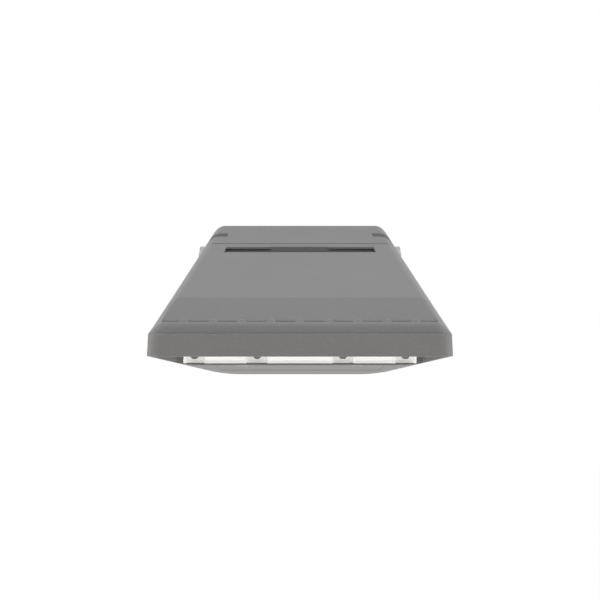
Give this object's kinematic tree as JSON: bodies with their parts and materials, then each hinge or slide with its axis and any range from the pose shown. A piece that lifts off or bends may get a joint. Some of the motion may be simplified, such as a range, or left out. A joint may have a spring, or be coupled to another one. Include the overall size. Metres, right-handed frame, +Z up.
{
  "type": "street light",
  "caption": "Wedge-shaped wall-mounted street light with a thin front lip, an air slot in the top, a lens and driver door underneath, hinged on a shallow wall box.",
  "frame": {"origin": "middle of the wall face at the back of the wall box", "axes": "+Z up, +Y into the wall, the light reaches out along -Y, X along the wall"},
  "size_m": [0.314, 0.297, 0.1932],
  "materials": {
    "casting": "grey powder coat with a fine grain",
    "casting_inside": "grey powder coat",
    "bare_aluminium": "die-cast, bare",
    "galvanised": "galvanised sheet",
    "rubber": "matt",
    "zinc": "zinc plate, satin",
    "steel": "stainless, satin",
    "terminal_plastic": "moulded",
    "ground_green": "green",
    "black_plastic": "moulded",
    "lead_black": "cable sheath",
    "lead_white": "cable sheath",
    "board": "white solder mask",
    "led": "phosphor",
    "lens": "clear moulded, prismatic inside",
    "driver_case": "satin aluminium case"
  },
  "bodies": {
    "root": {"wall_box": "casting", "wall_gasket": "rubber", "head_gasket": "rubber", "conduit_plug_left": "zinc", "conduit_plug_right": "zinc", "hinge_pins": "steel", "terminal_block": "terminal_plastic", "ground_screw": "ground_green", "power_socket": "black_plastic", "supply_leads": "lead_black"},
    "head": {"base_casting": "casting", "heat_sink": "bare_aluminium", "driver_bay": "casting_inside", "top_cover": "casting", "cover_screws": "steel", "led_board": "board", "led_chips": "led", "lens": "lens", "lens_gasket": "rubber", "lens_screws": "steel", "driver_bracket": "galvanised", "bracket_screws": "steel", "driver": "driver_case", "surge_protector": "black_plastic", "led_lead": "lead_white", "input_lead": "lead_black", "grommet": "rubber", "power_plug": "black_plastic", "lock_screws": "steel", "door_hinge_pins": "steel"},
    "driver_door": {"driver_door": "casting", "door_gasket": "rubber"},
    "latch_left": {"latch_left": "steel"},
    "latch_right": {"latch_right": "steel"}
  },
  "joints": [
    {"name": "head_lift", "type": "hinge", "parent": "root", "child": "head", "pos_m": [0, -0.06904, 0.06016], "axis": [-1, 0, 0], "range_deg": [0, 35]},
    {"name": "door_swing", "type": "hinge", "parent": "head", "child": "driver_door", "pos_m": [0, -0.0862, -0.08261], "axis": [1, 0, 0], "range_deg": [0, 80]},
    {"name": "latch_left_turn", "type": "hinge", "parent": "driver_door", "child": "latch_left", "pos_m": [-0.066, -0.157, -0.07567], "axis": [0, 0.1322, 0.9912], "range_deg": [0, 90]},
    {"name": "latch_right_turn", "type": "hinge", "parent": "driver_door", "child": "latch_right", "pos_m": [0.066, -0.157, -0.07567], "axis": [0, 0.1322, 0.9912], "range_deg": [0, 90]}
  ]
}
